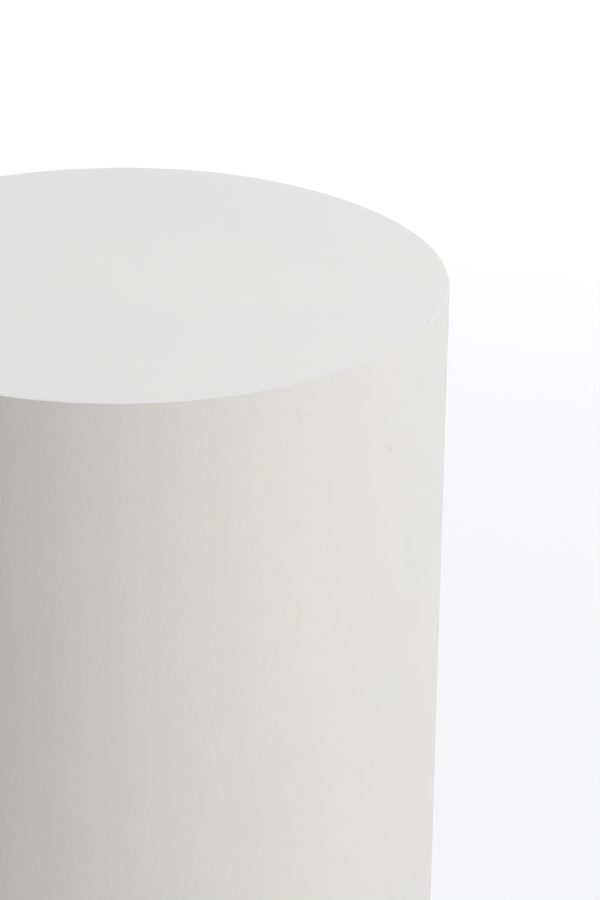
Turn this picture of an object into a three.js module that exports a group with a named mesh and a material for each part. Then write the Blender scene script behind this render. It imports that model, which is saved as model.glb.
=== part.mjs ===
// A round decorative pillar: one plain, straight column with a flat top, cast in one piece.
// Millimetres, +Z up. The origin is the centre of the underside, so the pillar stands on z = 0.
import * as THREE from "three";

// Driving dimensions.
const DIAMETER = 300;
const HEIGHT = 750;
const TOP_ARRIS_RADIUS = 0.5; // the sharp top edge, broken by a light rub with sandpaper
const FOOT_ARRIS_RADIUS = 2.5; // the foot's edge is eased a little more, so that it doesn't chip on the ground

// How finely the round stretches are faceted. The sides are a multiple of four, so that the flats of the facets
// are alike in all four quarters and the box around the pillar is as wide as its diameter.
const SIDES = 192;
const ARRIS_STEPS = 5;

// The off-white, chalky mineral surface.
const SURFACE_COLOUR = 0xdedcd6;
const SURFACE_ROUGHNESS = 0.9;

const radius = DIAMETER / 2;

// The points of a quarter circle that eases an outside edge, from startAngle on, anticlockwise.
function arris(centreX, centreZ, arrisRadius, startAngle) {
  const points = [];
  for (let step = 0; step <= ARRIS_STEPS; step++) {
    const angle = startAngle + (step / ARRIS_STEPS) * (Math.PI / 2);
    points.push(
      new THREE.Vector2(
        centreX + arrisRadius * Math.cos(angle),
        centreZ + arrisRadius * Math.sin(angle),
      ),
    );
  }
  return points;
}

// The pillar's half section, from the centre of the underside, round the foot, up the straight side and over the
// top arris to the centre of the top.
function pillarProfile() {
  return [
    new THREE.Vector2(0, 0),
    ...arris(radius - FOOT_ARRIS_RADIUS, FOOT_ARRIS_RADIUS, FOOT_ARRIS_RADIUS, -Math.PI / 2),
    ...arris(radius - TOP_ARRIS_RADIUS, HEIGHT - TOP_ARRIS_RADIUS, TOP_ARRIS_RADIUS, 0),
    new THREE.Vector2(0, HEIGHT),
  ];
}

function makePillar() {
  const geometry = new THREE.LatheGeometry(pillarProfile(), SIDES);
  geometry.rotateX(Math.PI / 2); // a lathe turns about Y, and the pillar stands along Z
  const material = new THREE.MeshStandardMaterial({
    color: SURFACE_COLOUR,
    roughness: SURFACE_ROUGHNESS,
    metalness: 0,
  });
  const pillar = new THREE.Mesh(geometry, material);
  pillar.name = "pillar";
  return pillar;
}

const decorativePillar = new THREE.Group();
decorativePillar.add(makePillar());

export default decorativePillar;
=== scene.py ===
"""The round decorative pillar, dressed for a photograph: a chalky off-white casting on a pale studio floor.

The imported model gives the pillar's size and place. Everything here is in metres, in the same frame: +Z up,
with the origin at the centre of the pillar's underside.
"""

import math

import bpy
from mathutils import Matrix, Vector


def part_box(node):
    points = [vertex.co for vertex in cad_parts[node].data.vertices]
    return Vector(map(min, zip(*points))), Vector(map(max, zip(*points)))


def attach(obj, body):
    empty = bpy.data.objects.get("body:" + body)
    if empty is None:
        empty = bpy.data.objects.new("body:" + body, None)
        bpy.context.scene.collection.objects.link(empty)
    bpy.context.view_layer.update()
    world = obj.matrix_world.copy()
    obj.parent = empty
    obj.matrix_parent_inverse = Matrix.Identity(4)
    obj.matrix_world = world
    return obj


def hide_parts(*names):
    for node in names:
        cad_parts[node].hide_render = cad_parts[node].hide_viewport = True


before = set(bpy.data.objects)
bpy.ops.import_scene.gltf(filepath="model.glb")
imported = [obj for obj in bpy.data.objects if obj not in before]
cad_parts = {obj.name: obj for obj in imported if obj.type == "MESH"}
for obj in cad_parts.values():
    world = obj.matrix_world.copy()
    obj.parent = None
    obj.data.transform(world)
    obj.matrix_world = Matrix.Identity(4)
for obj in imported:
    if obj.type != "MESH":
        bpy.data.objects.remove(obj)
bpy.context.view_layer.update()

MM = 0.001

# The pillar, from the frame.
PILLAR_LOW, PILLAR_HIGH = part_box("pillar")
RADIUS = (PILLAR_HIGH.x - PILLAR_LOW.x) / 2
HEIGHT = PILLAR_HIGH.z
TOP_ARRIS_RADIUS = 0.5 * MM
FOOT_ARRIS_RADIUS = 2.5 * MM

# How finely the pillar is modelled.
SIDES = 320
RING_SPACING = 4 * MM
ARRIS_STEPS = 6

# The casting left the mould a little out of round, in three and four shallow lobes inside the true cylinder.
# Each one's size is how far it swings to either side.
THREE_LOBES = 0.2 * MM
THREE_LOBES_TURN = math.radians(34)
FOUR_LOBES = 0.6 * MM
FOUR_LOBES_TURN = math.radians(-5)

# Rubbing down by hand left shallow dents, wide ones and smaller ones.
WIDE_DENT_DEPTH = 0.30 * MM
WIDE_DENT_SIZE = 60 * MM
SMALL_DENT_DEPTH = 0.10 * MM
SMALL_DENT_SIZE = 14 * MM

# The finish: the tints between which the clouds drift, and for each pattern how wide its lumps are, how much
# it lightens and darkens, and how high it stands.
COOL_TINT = (0.712, 0.710, 0.687)
WARM_TINT = (0.728, 0.721, 0.693)
CLOUD_SIZE = 90 * MM
BLOTCH_SIZE = 16 * MM
BLOTCH_STRENGTH = 0.006
SAND_SIZE = 0.8 * MM
SAND_STRENGTH = 0.006
SAND_HEIGHT = 0.045 * MM
GRAIN_SIZE = 2.6 * MM
GRAIN_HEIGHT = 0.105 * MM
LUMP_SIZE = 7 * MM
LUMP_HEIGHT = 0.25 * MM
BUBBLE_SPACING = 5.2 * MM
BUBBLE_RADIUS = 0.5 * MM
BUBBLE_DEPTH = 0.20 * MM
# The share of its colour that a pinprick keeps at its middle: painted shade in its hollow.
BUBBLE_PAINTED_SHADE = 0.96
SMOOTHEST_SHEEN = 0.82
DULLEST_SHEEN = 0.96
GLOSS = 0.3

# How much of the relief rubbing down left: in its faintest and strongest patches, and on the top.
PATCH_SIZE = 22 * MM
FAINTEST_PATCH = 0.5
STRONGEST_PATCH = 1.3
TOP_RELIEF = 0.35

# The air pinholes scattered over what the photograph doesn't show. Their depths are shares of their widths.
PINHOLES_PER_SQUARE_METRE = 260.0
NARROWEST_PINHOLE = 0.6 * MM
WIDEST_PINHOLE = 1.9 * MM
SHALLOWEST_PINHOLE = 0.18
DEEPEST_PINHOLE = 0.4
PINHOLE_ROUGHNESS = 0.15 * MM
PINHOLE_SEED = 7

# The photograph's frame, in pixels.
PHOTO_WIDTH = 600
PHOTO_HEIGHT = 900

# The camera: a long lens that looks down on the pillar's right half.
CAMERA_BACK = 1.7286
CAMERA_RIGHT = 0.0826
CAMERA_ABOVE_TOP = 0.6629
CAMERA_TILT_DOWN = math.radians(23.39)
CAMERA_ROLL = math.radians(0.894)
CAMERA_FOCAL_PIXELS = 4062
SENSOR_WIDTH_MM = 36

# Soft dents that the photograph shows: across and down in its frame, then width and depth in millimetres.
PHOTO_DENTS = (
    (264, 487, 11.0, 0.12),
    (288, 528, 11.0, 0.12),
)

# The pinholes that the photograph shows: across and down in its frame, then width and depth in millimetres.
PHOTO_PINHOLES = (
    (209, 285, 1.7, 0.31),
    (148, 310, 1.3, 0.26),
    (35, 317, 1.3, 0.22),
    (90, 386, 1.2, 0.25),
    (140, 178, 1.5, 0.24),
    (388, 445, 1.4, 0.34),
    (390, 449, 1.9, 0.54),
    (258, 683, 1.1, 0.21),
    (253, 705, 0.9, 0.15),
    (235, 708, 0.9, 0.15),
    (187, 629, 1.0, 0.17),
    (298, 603, 0.8, 0.12),
    (163, 697, 0.8, 0.15),
    (196, 723, 1.0, 0.16),
    (2, 501, 1.6, 0.41),
    (20, 523, 1.3, 0.26),
    (430, 772, 1.5, 0.35),
    (428, 323, 1.6, 0.42),
)


def half_section():
    """The pillar's half section as (radius, height) points, from the middle of the underside to the top's."""

    def steps(start, end, spacing):
        count = max(1, round(abs(end - start) / spacing))
        return [start + (end - start) * i / count for i in range(count)]

    def arris(centre_radius, centre_height, arris_radius, start_angle):
        points = []
        for i in range(ARRIS_STEPS):
            angle = start_angle + math.pi / 2 * i / ARRIS_STEPS
            radius = centre_radius + arris_radius * math.cos(angle)
            height = centre_height + arris_radius * math.sin(angle)
            points.append((radius, height))
        return points

    foot_radius = RADIUS - FOOT_ARRIS_RADIUS
    top_radius = RADIUS - TOP_ARRIS_RADIUS
    side_bottom = FOOT_ARRIS_RADIUS
    side_top = HEIGHT - TOP_ARRIS_RADIUS
    underside = [(r, 0.0) for r in steps(0, foot_radius, foot_radius / 4)]
    side = [(RADIUS, z) for z in steps(side_bottom, side_top, RING_SPACING)]
    top = [(r, HEIGHT) for r in steps(top_radius, 0, RING_SPACING)]
    return [
        *underside,
        *arris(foot_radius, side_bottom, FOOT_ARRIS_RADIUS, -math.pi / 2),
        *side,
        *arris(top_radius, side_top, TOP_ARRIS_RADIUS, 0),
        *top,
        (0.0, HEIGHT),
    ]


def out_of_round(angle):
    """How far the surface stands off the true cylinder at this angle round the axis, never above zero."""
    three = THREE_LOBES * math.cos(3 * (angle - THREE_LOBES_TURN))
    four = FOUR_LOBES * math.cos(4 * (angle - FOUR_LOBES_TURN))
    return three + four - THREE_LOBES - FOUR_LOBES


def turned_mesh(name, section, sides):
    """A closed, nearly round solid about Z: a vertex at each end of the section, and rings in between."""
    angles = [2 * math.pi * i / sides for i in range(sides)]
    points = [(0, 0, section[0][1])]
    for radius, height in section[1:-1]:
        for angle in angles:
            true_radius = radius + out_of_round(angle) * radius / RADIUS
            points.append((true_radius * math.cos(angle), true_radius * math.sin(angle), height))
    points.append((0, 0, section[-1][1]))
    last = len(points) - 1
    faces = []
    for i in range(sides):
        j = (i + 1) % sides
        faces.append((0, 1 + j, 1 + i))
        for ring in range(len(section) - 3):
            below = 1 + ring * sides
            above = below + sides
            faces.append((below + i, below + j, above + j, above + i))
        faces.append((last - sides + i, last - sides + j, last))
    mesh = bpy.data.meshes.new(name)
    mesh.from_pydata(points, [], faces)
    mesh.polygons.foreach_set("use_smooth", [True] * len(mesh.polygons))
    mesh.update()
    return mesh


def new_object(name, mesh):
    made = bpy.data.objects.new(name, mesh)
    bpy.context.scene.collection.objects.link(made)
    return made


def add_node(tree, kind, inputs=None, **settings):
    """Adds a node to a tree. Each of its inputs, by name or number, gets a value or another node's socket."""
    node = tree.nodes.new(kind)
    for name, value in settings.items():
        setattr(node, name, value)
    for name, value in (inputs or {}).items():
        if isinstance(value, bpy.types.NodeSocket):
            tree.links.new(value, node.inputs[name])
        else:
            node.inputs[name].default_value = value
    return node


def calculated(tree, operation, first, second):
    """One sum, difference, product, quotient or power of two values or sockets."""
    return add_node(tree, "ShaderNodeMath", {0: first, 1: second}, operation=operation).outputs[0]


def scaled(tree, vector, factor):
    inputs = {0: vector, "Scale": factor}
    return add_node(tree, "ShaderNodeVectorMath", inputs, operation="SCALE").outputs[0]


def carried(tree, name):
    """The number that each point of the geometry carries under this name."""
    inputs = {"Name": name}
    return add_node(tree, "GeometryNodeInputNamedAttribute", inputs, data_type="FLOAT").outputs[0]


def new_geometry_tree(name, inputs):
    """An empty geometry tree with a geometry input, these named inputs and a geometry output."""
    tree = bpy.data.node_groups.new(name, "GeometryNodeTree")
    tree.interface.new_socket("Geometry", in_out="INPUT", socket_type="NodeSocketGeometry")
    tree.interface.new_socket("Geometry", in_out="OUTPUT", socket_type="NodeSocketGeometry")
    for label, kind in inputs.items():
        tree.interface.new_socket(label, in_out="INPUT", socket_type=kind)
    return tree, tree.nodes.new("NodeGroupInput"), tree.nodes.new("NodeGroupOutput")


def end_tree(tree, result, geometry, material):
    """Ends a tree with plain geometry, all of it in this material."""
    real = add_node(tree, "GeometryNodeRealizeInstances", {0: geometry}).outputs[0]
    inputs = {"Geometry": real, "Material": material}
    painted = add_node(tree, "GeometryNodeSetMaterial", inputs).outputs[0]
    tree.links.new(painted, result.inputs[0])


def run_tree(piece, tree, values):
    """Runs a geometry tree on a piece with these input values, and leaves it with the mesh that comes out."""
    modifier = piece.modifiers.new(tree.name, "NODES")
    modifier.node_group = tree
    sockets = {s.name: s.identifier for s in tree.interface.items_tree if s.in_out == "INPUT"}
    for label, value in values.items():
        modifier[sockets[label]] = value
    bpy.context.view_layer.update()
    evaluated = piece.evaluated_get(bpy.context.evaluated_depsgraph_get())
    made = bpy.data.meshes.new_from_object(evaluated)
    piece.modifiers.remove(modifier)
    piece.data = made


def hand_rubbed_tree():
    """Presses shallow dents into the side and the top, inwards along the surface's own normal."""
    tree, given, result = new_geometry_tree(
        "HandRubbed",
        {
            "Marks": "NodeSocketObject",
            "Wide dent depth": "NodeSocketFloat",
            "Wide dent size": "NodeSocketFloat",
            "Small dent depth": "NodeSocketFloat",
            "Small dent size": "NodeSocketFloat",
            "Material": "NodeSocketMaterial",
        },
    )

    def dents(depth, size):
        scale = calculated(tree, "DIVIDE", 1.0, size)
        noise = add_node(tree, "ShaderNodeTexNoise", {"Scale": scale, "Detail": 1.0}).outputs[0]
        return calculated(tree, "MULTIPLY", noise, depth)

    wide = dents(given.outputs["Wide dent depth"], given.outputs["Wide dent size"])
    small = dents(given.outputs["Small dent depth"], given.outputs["Small dent size"])
    everywhere = calculated(tree, "ADD", wide, small)

    # A marked dent is deepest at its mark and fades out over half its width.
    marks = add_node(tree, "GeometryNodeObjectInfo", {"Object": given.outputs["Marks"]}).outputs["Geometry"]
    nearest = add_node(tree, "GeometryNodeSampleNearest", {"Geometry": marks}, domain="POINT").outputs[0]

    def of_nearest(name):
        inputs = {"Geometry": marks, "Value": carried(tree, name), "Index": nearest}
        sample = add_node(tree, "GeometryNodeSampleIndex", inputs, data_type="FLOAT", domain="POINT")
        return sample.outputs[0]

    away = add_node(tree, "GeometryNodeProximity", {0: marks}, target_element="POINTS").outputs["Distance"]
    half_width = calculated(tree, "MULTIPLY", of_nearest("width"), 0.5)
    inputs = {"Value": away, "From Max": half_width, "To Min": of_nearest("depth"), "To Max": 0.0}
    marked = add_node(tree, "ShaderNodeMapRange", inputs, interpolation_type="SMOOTHSTEP").outputs["Result"]
    inwards = calculated(tree, "MULTIPLY", calculated(tree, "ADD", everywhere, marked), -1.0)
    normal = add_node(tree, "GeometryNodeInputNormal").outputs[0]
    offset = scaled(tree, normal, inwards)

    # The underside and the foot's arris face down, and stay as they were turned.
    facing_up = add_node(tree, "ShaderNodeSeparateXYZ", {0: normal}).outputs["Z"]
    side_and_top = add_node(
        tree, "FunctionNodeCompare", {0: facing_up, 1: -0.02}, data_type="FLOAT", operation="GREATER_THAN"
    ).outputs[0]
    moved = add_node(
        tree,
        "GeometryNodeSetPosition",
        {"Geometry": given.outputs["Geometry"], "Selection": side_and_top, "Offset": offset},
    ).outputs[0]
    end_tree(tree, result, moved, given.outputs["Material"])
    return tree


def pinhole_tree():
    """Cuts air pinholes at the marks, and scatters more where the geometry's "unseen" is above zero."""
    tree, given, result = new_geometry_tree(
        "AirPinholes",
        {
            "Marks": "NodeSocketObject",
            "Pinholes per square metre": "NodeSocketFloat",
            "Narrowest": "NodeSocketFloat",
            "Widest": "NodeSocketFloat",
            "Shallowest": "NodeSocketFloat",
            "Deepest": "NodeSocketFloat",
            "Roughness": "NodeSocketFloat",
            "Seed": "NodeSocketInt",
            "Material": "NodeSocketMaterial",
        },
    )
    seed = given.outputs["Seed"]
    crowding = given.outputs["Pinholes per square metre"]
    density = calculated(tree, "MULTIPLY", carried(tree, "unseen"), crowding)
    scattered = add_node(
        tree,
        "GeometryNodeDistributePointsOnFaces",
        {"Mesh": given.outputs["Geometry"], "Density": density, "Seed": seed},
    )
    share = add_node(tree, "FunctionNodeRandomValue", {"Seed": seed}, data_type="FLOAT").outputs[1]
    mostly_narrow = calculated(tree, "POWER", share, 2.5)
    width = add_node(
        tree,
        "ShaderNodeMapRange",
        {
            "Value": mostly_narrow,
            "To Min": given.outputs["Narrowest"],
            "To Max": given.outputs["Widest"],
        },
    ).outputs[0]
    depth_share = add_node(
        tree,
        "FunctionNodeRandomValue",
        {2: given.outputs["Shallowest"], 3: given.outputs["Deepest"], "Seed": seed},
        data_type="FLOAT",
    ).outputs[1]
    depth = calculated(tree, "MULTIPLY", width, depth_share)
    scattered_points = scattered.outputs["Points"]
    for label, value in (("width", width), ("depth", depth)):
        scattered_points = add_node(
            tree,
            "GeometryNodeStoreNamedAttribute",
            {"Geometry": scattered_points, "Name": label, "Value": value},
            data_type="FLOAT",
            domain="POINT",
        ).outputs[0]
    marks = add_node(tree, "GeometryNodeObjectInfo", {"Object": given.outputs["Marks"]}).outputs["Geometry"]
    mark_points = add_node(tree, "GeometryNodeMeshToPoints", {"Mesh": marks}).outputs[0]
    points = tree.nodes.new("GeometryNodeJoinGeometry")
    tree.links.new(mark_points, points.inputs[0])
    tree.links.new(scattered_points, points.inputs[0])

    # A pinhole is the cap that the surface cuts off a bubble. The cap's width and depth give the bubble's
    # width, and how far the bubble's centre stands off the surface.
    cap_width = carried(tree, "width")
    cap_depth = carried(tree, "depth")
    half_width_squared = calculated(tree, "POWER", calculated(tree, "MULTIPLY", cap_width, 0.5), 2.0)
    rest_of_width = calculated(tree, "DIVIDE", half_width_squared, cap_depth)
    bubble_width = calculated(tree, "ADD", rest_of_width, cap_depth)
    standing_off = calculated(tree, "SUBTRACT", calculated(tree, "MULTIPLY", bubble_width, 0.5), cap_depth)
    outwards = add_node(
        tree,
        "GeometryNodeSampleNearestSurface",
        {"Mesh": given.outputs["Geometry"], "Value": add_node(tree, "GeometryNodeInputNormal").outputs[0]},
        data_type="FLOAT_VECTOR",
    ).outputs[0]
    inputs = {"Geometry": points.outputs[0], "Offset": scaled(tree, outwards, standing_off)}
    centres = add_node(tree, "GeometryNodeSetPosition", inputs).outputs[0]

    # One bubble, half a unit in radius, so that its scale is its width.
    ball = add_node(tree, "GeometryNodeMeshIcoSphere", {"Radius": 0.5, "Subdivisions": 3}).outputs[0]
    stretch = add_node(
        tree,
        "FunctionNodeRandomValue",
        {0: (0.9, 0.9, 0.9), 1: (1.1, 1.1, 1.1), "Seed": seed},
        data_type="FLOAT_VECTOR",
    ).outputs[0]
    turn = add_node(
        tree,
        "FunctionNodeRandomValue",
        {0: (0.0, 0.0, 0.0), 1: (math.tau, math.tau, math.tau), "Seed": seed},
        data_type="FLOAT_VECTOR",
    ).outputs[0]
    bubble_size = scaled(tree, stretch, bubble_width)
    bubbles = add_node(
        tree,
        "GeometryNodeInstanceOnPoints",
        {"Points": centres, "Instance": ball, "Rotation": turn, "Scale": bubble_size},
    ).outputs[0]
    loose_bubbles = add_node(tree, "GeometryNodeRealizeInstances", {0: bubbles}).outputs[0]

    # Each bubble's skin has lumps two thirds of a millimetre wide, so that no two mouths are alike.
    lumps = add_node(tree, "ShaderNodeTexNoise", {"Scale": 1500.0, "Detail": 1.0}).outputs["Color"]
    inputs = {0: lumps, 1: (0.5, 0.5, 0.5)}
    about_zero = add_node(tree, "ShaderNodeVectorMath", inputs, operation="SUBTRACT").outputs[0]
    inputs = {"Geometry": loose_bubbles, "Offset": scaled(tree, about_zero, given.outputs["Roughness"])}
    lumpy = add_node(tree, "GeometryNodeSetPosition", inputs).outputs[0]
    cut = add_node(
        tree,
        "GeometryNodeMeshBoolean",
        {"Mesh 1": given.outputs["Geometry"], "Mesh 2": lumpy},
        operation="DIFFERENCE",
        solver="EXACT",
    )
    inputs = {"Geometry": cut.outputs["Mesh"], "Shade Smooth": True}
    smooth = add_node(tree, "GeometryNodeSetShadeSmooth", inputs, domain="FACE").outputs[0]
    crisp_mouths = add_node(
        tree,
        "GeometryNodeSetShadeSmooth",
        {"Geometry": smooth, "Selection": cut.outputs["Intersecting Edges"], "Shade Smooth": False},
        domain="EDGE",
    ).outputs[0]
    end_tree(tree, result, crisp_mouths, given.outputs["Material"])
    return tree


def photo_ray(camera, across, down):
    """The direction in which the camera sees this pixel of the photograph."""
    sight = Vector((across - PHOTO_WIDTH / 2, PHOTO_HEIGHT / 2 - down, -CAMERA_FOCAL_PIXELS))
    return (camera.matrix_world.to_3x3() @ sight).normalized()


def photo_shows(camera, point, normal):
    """Whether the photograph shows this point: it faces the camera and falls inside the frame."""
    eye = camera.matrix_world.translation
    if normal.dot(eye - point) <= 0:
        return False
    seen = camera.matrix_world.inverted() @ point
    across = PHOTO_WIDTH / 2 - seen.x / seen.z * CAMERA_FOCAL_PIXELS
    down = PHOTO_HEIGHT / 2 + seen.y / seen.z * CAMERA_FOCAL_PIXELS
    return 0 <= across <= PHOTO_WIDTH and 0 <= down <= PHOTO_HEIGHT


def photo_marks(camera, pillar, name, marks):
    """A loose point on the pillar for each of these marks of the photograph, with its width and depth."""
    eye = camera.matrix_world.translation
    places = []
    for across, down, _, _ in marks:
        hit, place, _, _ = pillar.ray_cast(eye, photo_ray(camera, across, down))
        if not hit:
            raise ValueError(f"the mark at {across}, {down} isn't on the pillar")
        places.append(place)
    mesh = bpy.data.meshes.new(name)
    mesh.from_pydata(places, [], [])
    for label, column in (("width", 2), ("depth", 3)):
        values = mesh.attributes.new(label, "FLOAT", "POINT").data
        values.foreach_set("value", [mark[column] * MM for mark in marks])
    return new_object(name, mesh)


def make_pillar(camera, material):
    """Turns the pillar, presses the dents into it and then cuts its pinholes."""
    pillar = new_object("cast_pillar", turned_mesh("cast_pillar", half_section(), SIDES))
    bpy.context.view_layer.update()
    dents = photo_marks(camera, pillar, "dent_marks", PHOTO_DENTS)
    run_tree(
        pillar,
        hand_rubbed_tree(),
        {
            "Marks": dents,
            "Wide dent depth": WIDE_DENT_DEPTH,
            "Wide dent size": WIDE_DENT_SIZE,
            "Small dent depth": SMALL_DENT_DEPTH,
            "Small dent size": SMALL_DENT_SIZE,
            "Material": material,
        },
    )
    bpy.context.view_layer.update()
    unseen = pillar.data.attributes.new("unseen", "FLOAT", "POINT")
    shown = [photo_shows(camera, vertex.co, vertex.normal) for vertex in pillar.data.vertices]
    unseen.data.foreach_set("value", [0.0 if s else 1.0 for s in shown])
    pinholes = photo_marks(camera, pillar, "pinhole_marks", PHOTO_PINHOLES)
    run_tree(
        pillar,
        pinhole_tree(),
        {
            "Marks": pinholes,
            "Pinholes per square metre": PINHOLES_PER_SQUARE_METRE,
            "Narrowest": NARROWEST_PINHOLE,
            "Widest": WIDEST_PINHOLE,
            "Shallowest": SHALLOWEST_PINHOLE,
            "Deepest": DEEPEST_PINHOLE,
            "Roughness": PINHOLE_ROUGHNESS,
            "Seed": PINHOLE_SEED,
            "Material": material,
        },
    )
    bpy.data.objects.remove(dents)
    bpy.data.objects.remove(pinholes)
    return pillar


def new_material(name):
    """A new material, its node tree and its shader, which has nothing linked to it yet."""
    material = bpy.data.materials.new(name)
    material.use_nodes = True
    tree = material.node_tree
    return material, tree, tree.nodes["Principled BSDF"]


def cast_mineral():
    """Chalky off-white cast mineral: faint clouds of tint, fine sandy relief with painted shade in its
    pinpricks, and a dry, uneven sheen.
    """
    material, tree, shader = new_material("cast_mineral")
    place = add_node(tree, "ShaderNodeTexCoord").outputs["Object"]

    def noise(size, detail=2.0):
        """Noise whose lumps are about this wide."""
        inputs = {"Vector": place, "Scale": 1 / size, "Detail": detail}
        return add_node(tree, "ShaderNodeTexNoise", inputs).outputs["Fac"]

    def spread(value, low, high, new_low, new_high):
        inputs = {"Value": value, "From Min": low, "From Max": high, "To Min": new_low, "To Max": new_high}
        return add_node(tree, "ShaderNodeMapRange", inputs).outputs["Result"]

    clouds = spread(noise(CLOUD_SIZE, 3.0), 0.3, 0.7, 0.0, 1.0)

    # A Mix node has a set of sockets for each kind of data: 0 is the share, 6 and 7 are the two colours, and
    # the mixed colour comes out at 2.
    inputs = {0: clouds, 6: (*COOL_TINT, 1), 7: (*WARM_TINT, 1)}
    tint = add_node(tree, "ShaderNodeMix", inputs, data_type="RGBA").outputs[2]
    blotches = spread(noise(BLOTCH_SIZE, 4.0), 0.3, 0.7, 1 - BLOTCH_STRENGTH, 1 + BLOTCH_STRENGTH)
    sand = spread(noise(SAND_SIZE, 1.0), 0.25, 0.75, 1 - SAND_STRENGTH, 1 + SAND_STRENGTH)

    # Bubbles too fine to model lie all through the casting. Where the skin cuts one, it leaves a pinprick.
    inputs = {"Vector": place, "Scale": 1 / BUBBLE_SPACING}
    bubble_distance = add_node(tree, "ShaderNodeTexVoronoi", inputs, feature="F1").outputs["Distance"]
    bubble = spread(bubble_distance, 0.0, BUBBLE_RADIUS / BUBBLE_SPACING, 1.0, 0.0)
    # Each pinprick's colour is darkened towards its middle: painted shade standing in for the shadow in its
    # hollow.
    shade = spread(bubble, 0.0, 1.0, 1.0, BUBBLE_PAINTED_SHADE)

    grains = calculated(tree, "MULTIPLY", blotches, sand)
    lightness = calculated(tree, "MULTIPLY", grains, shade)
    tree.links.new(scaled(tree, tint, lightness), shader.inputs["Base Color"])
    sheen = spread(noise(BLOTCH_SIZE, 3.0), 0.3, 0.7, SMOOTHEST_SHEEN, DULLEST_SHEEN)
    tree.links.new(sheen, shader.inputs["Roughness"])
    shader.inputs["Specular IOR Level"].default_value = GLOSS

    height = calculated(tree, "MULTIPLY", bubble, -BUBBLE_DEPTH)
    for size, depth in ((SAND_SIZE, SAND_HEIGHT), (GRAIN_SIZE, GRAIN_HEIGHT), (LUMP_SIZE, LUMP_HEIGHT)):
        inputs = {0: noise(size), 1: depth, 2: height}
        height = add_node(tree, "ShaderNodeMath", inputs, operation="MULTIPLY_ADD").outputs[0]

    # Rubbing down left the relief fainter in some patches than in others, and faintest on the flat top.
    level = add_node(tree, "ShaderNodeSeparateXYZ", {0: place}).outputs["Z"]
    top_share = spread(level, HEIGHT - 2 * TOP_ARRIS_RADIUS, HEIGHT - TOP_ARRIS_RADIUS, 1.0, TOP_RELIEF)
    patches = spread(noise(PATCH_SIZE), 0.35, 0.65, FAINTEST_PATCH, STRONGEST_PATCH)
    relief = calculated(tree, "MULTIPLY", patches, top_share)
    bump = add_node(tree, "ShaderNodeBump", {"Height": height, "Distance": 1.0, "Strength": relief})
    tree.links.new(bump.outputs[0], shader.inputs["Normal"])
    return material


def floor_paint():
    material, _, shader = new_material("floor_paint")
    shader.inputs["Base Color"].default_value = (0.92, 0.92, 0.93, 1)
    shader.inputs["Roughness"].default_value = 1.0
    shader.inputs["Specular IOR Level"].default_value = 0.0
    return material


def make_floor():
    """A level floor that reaches 40 metres to every side."""
    reach = 40.0
    corners = [(-reach, -reach, 0), (reach, -reach, 0), (reach, reach, 0), (-reach, reach, 0)]
    mesh = bpy.data.meshes.new("floor")
    mesh.from_pydata(corners, [], [(0, 1, 2, 3)])
    floor = new_object("floor", mesh)
    mesh.materials.append(floor_paint())


def make_camera():
    data = bpy.data.cameras.new("camera")
    data.sensor_width = SENSOR_WIDTH_MM
    data.lens = CAMERA_FOCAL_PIXELS * SENSOR_WIDTH_MM / max(PHOTO_WIDTH, PHOTO_HEIGHT)
    data.clip_start = 0.05
    data.clip_end = 100
    camera = new_object("camera", data)
    place = Matrix.Translation((CAMERA_RIGHT, -CAMERA_BACK, HEIGHT + CAMERA_ABOVE_TOP))
    tilt = Matrix.Rotation(math.pi / 2 - CAMERA_TILT_DOWN, 4, "X")
    roll = Matrix.Rotation(CAMERA_ROLL, 4, "Z")
    camera.matrix_world = place @ tilt @ roll
    bpy.context.scene.camera = camera
    return camera


def area_light(name, place, aim, size, power, colour):
    """A soft box, with its width and height in metres and its power in watts. The camera doesn't see it."""
    data = bpy.data.lights.new(name, "AREA")
    data.shape = "RECTANGLE"
    data.size, data.size_y = size
    data.energy = power
    data.color = colour
    light = new_object(name, data)
    light.location = place
    light.rotation_euler = (Vector(aim) - Vector(place)).to_track_quat("-Z", "Y").to_euler()
    light.visible_camera = False


def sun_light(name, towards, softness, power, colour):
    """Even light from a far, soft source that lies in this direction."""
    data = bpy.data.lights.new(name, "SUN")
    data.angle = softness
    data.energy = power
    data.color = colour
    light = new_object(name, data)
    light.rotation_euler = Vector(towards).to_track_quat("Z", "Y").to_euler()


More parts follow.
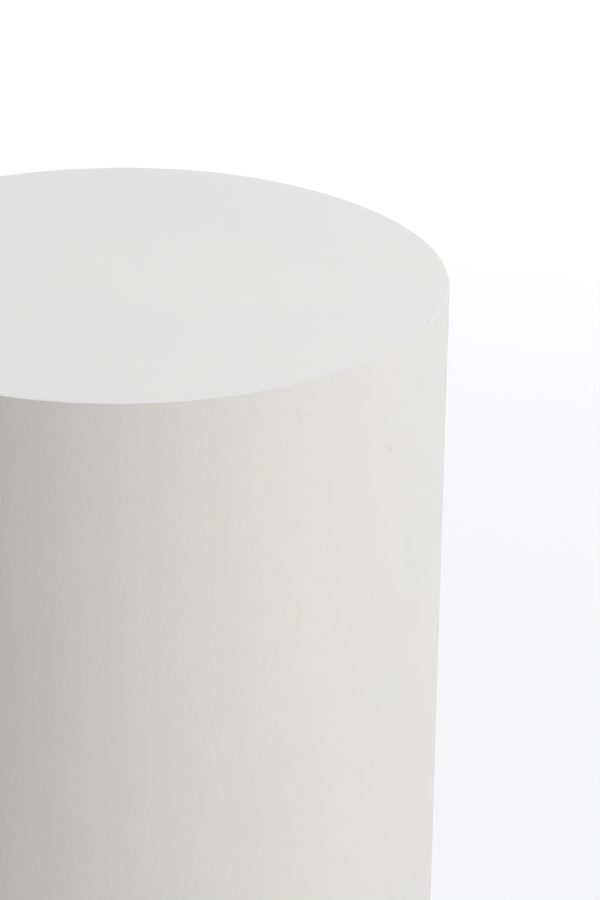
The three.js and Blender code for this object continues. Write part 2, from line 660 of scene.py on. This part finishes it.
def make_lights():
    """Three soft boxes on the pillar's top, a wash on the floor behind it, and even light from two sides."""
    top_middle = (0, 0, HEIGHT)
    floor_behind = (0.4, 2.6, 0)
    very_soft = math.radians(60)
    area_light("overhead", (0.1, 0.1, 2.2), top_middle, (1.2, 1.2), 5.3, (0.842, 0.888, 1))
    area_light("right_high", (1.5, -0.5, 2.0), top_middle, (1.2, 1.2), 8.0, (0.937, 0.983, 1))
    area_light("right_front", (1.2, -1.2, 1.2), top_middle, (1.0, 1.0), 12.3, (1, 0.999, 0.961))
    area_light("back_wash", (0.6, 3.6, 2.6), floor_behind, (3.5, 1.2), 64.6, (0.97, 0.969, 1))
    sun_light("back_windows", (0.1, 1, 0.6), very_soft, 0.937, (0.927, 0.93, 1))
    sun_light("left_front_fill", (-0.7, -0.7, 0.7), very_soft, 0.415, (1, 0.903, 0.823))


def make_studio_walls():
    """The white room far around: its walls are lighter at the back and on the right."""
    world = bpy.data.worlds.new("studio")
    bpy.context.scene.world = world
    world.use_nodes = True
    tree = world.node_tree
    way = add_node(tree, "ShaderNodeTexCoord").outputs["Object"]
    parts = add_node(tree, "ShaderNodeSeparateXYZ", {0: way})
    light = (0.071, 0.068, 0.066)
    right_wall = (0.202, 0.198, 0.194)
    back_wall = (0.512, 0.511, 0.534)
    for side, colour in (("X", right_wall), ("Y", back_wall)):
        inputs = {"Value": parts.outputs[side], "From Min": -0.5, "From Max": 1.0}
        share = add_node(tree, "ShaderNodeMapRange", inputs, interpolation_type="SMOOTHSTEP").outputs[0]
        inputs = {0: light, 1: scaled(tree, colour, share)}
        light = add_node(tree, "ShaderNodeVectorMath", inputs, operation="ADD").outputs[0]
    tree.links.new(light, tree.nodes["Background"].inputs["Color"])
    tree.nodes["Background"].inputs["Strength"].default_value = 1.0


camera = make_camera()
bpy.context.view_layer.update()
pillar = make_pillar(camera, cast_mineral())
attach(pillar, "root")
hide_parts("pillar")
make_floor()
make_lights()
make_studio_walls()
bpy.context.scene.view_settings.view_transform = "Standard"
